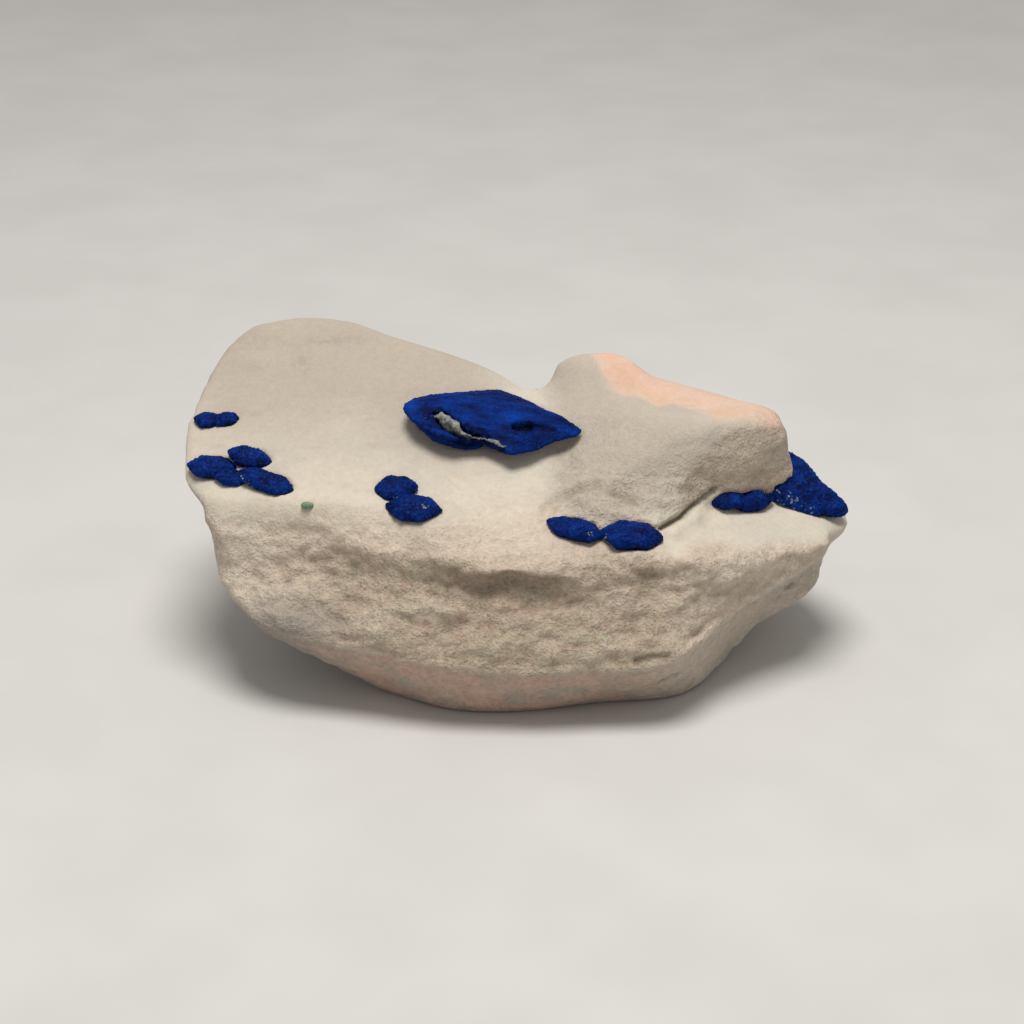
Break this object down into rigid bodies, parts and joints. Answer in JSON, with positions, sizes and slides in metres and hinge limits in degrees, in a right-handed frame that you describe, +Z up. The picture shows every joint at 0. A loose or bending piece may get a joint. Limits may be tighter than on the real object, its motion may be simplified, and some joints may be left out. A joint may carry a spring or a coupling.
{
  "type": "azurite specimen",
  "caption": "Pale claystone block with lens-shaped deep blue azurite discs grown along its broken front, a hand specimen that lies on a flat underside.",
  "frame": {"origin": "middle of the bounding box in plan, on the flat underside", "axes": "+X to the right along the block, -Y out of the broken front, +Z up"},
  "size_m": [0.1488, 0.098, 0.0655],
  "materials": {
    "claystone": "matte pale clay, smooth where worn and granular where broken, with peach and pink stains",
    "azurite": "deep blue, finely bladed, satin with small bright crystal faces",
    "malachite": "dull green, fine grained"
  },
  "bodies": {
    "root": {"claystone": "claystone", "azurite_sun_large": "azurite", "azurite_disc_right": "azurite", "azurite_pair_upper_left": "azurite", "azurite_disc_left": "azurite", "azurite_cluster_left": "azurite", "azurite_pair_front": "azurite", "azurite_pair_ledge": "azurite", "azurite_disc_crevice": "azurite", "malachite_speck": "malachite"}
  },
  "joints": []
}
